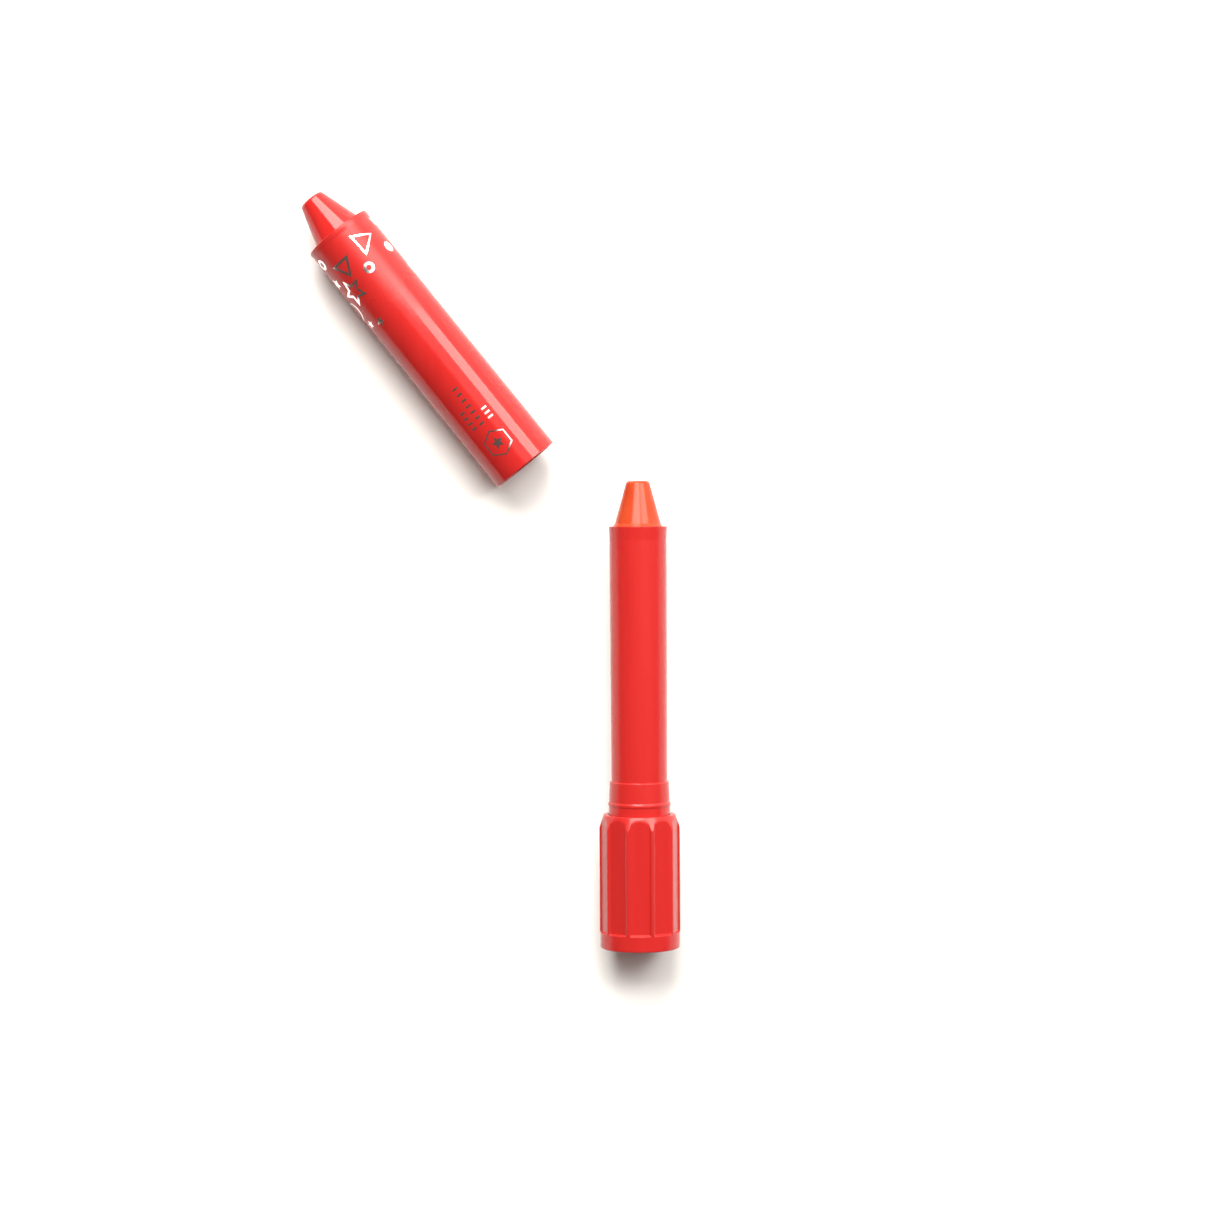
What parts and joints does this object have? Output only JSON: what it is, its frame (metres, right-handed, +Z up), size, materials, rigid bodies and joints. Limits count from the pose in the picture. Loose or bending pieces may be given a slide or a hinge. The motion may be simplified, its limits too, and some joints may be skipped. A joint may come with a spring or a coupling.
{
  "type": "twist-up crayon with cap",
  "caption": "Twist-up crayon with a fluted knob, snap collar, orange cone tip and a loose cone-nosed cap lying beside it.",
  "frame": {"origin": "on the table, under the centre of the box round the crayon and its loose cap", "axes": "+Z up from the table; +Y along the crayon's axis from the knob to the wax tip; +X to the right seen from above with +Y away"},
  "size_m": [0.0936, 0.1894, 0.0199],
  "materials": {
    "red_gloss_plastic": "moulded bright red, satin gloss",
    "red_knob_plastic": "moulded bright red, satin gloss",
    "red_cap_plastic": "moulded bright red, high gloss, with a silver foil pattern",
    "orange_wax": "cast orange wax, soft sheen",
    "white_plastic": "natural white moulded plastic",
    "ivory_plastic": "ivory moulded plastic",
    "black_rubber": "matt black rubber"
  },
  "bodies": {
    "barrel_body": {"barrel": "red_gloss_plastic", "friction_ring": "black_rubber"},
    "knob_body": {"twist_knob": "red_knob_plastic", "lead_screw": "ivory_plastic", "tail_plug": "red_knob_plastic"},
    "wax_carriage": {"wax_cup": "white_plastic", "wax_stick": "orange_wax"},
    "cap_body": {"cap": "red_cap_plastic"}
  },
  "joints": [
    {"name": "knob_twist", "type": "hinge", "parent": "barrel_body", "child": "knob_body", "pos_m": [0.03671, -0.09465, 0.00996], "axis": [0, 1, 0], "range_deg": [-90.01, 2790.01]},
    {"name": "wax_feed", "type": "slide", "parent": "barrel_body", "child": "wax_carriage", "axis": [0, 1, 0], "range_m": [-0.00125, 0.03875]},
    {"name": "cap_swing", "type": "hinge", "parent": "barrel_body", "child": "cap_body", "pos_m": [0.02028, -0.0146, 0.00903], "axis": [0, 0, -1], "range_deg": [0, 38.58]}
  ],
  "couplings": [
    {"joint": "knob_twist", "follows": "wax_feed", "rad_per_m": 1256.6}
  ]
}
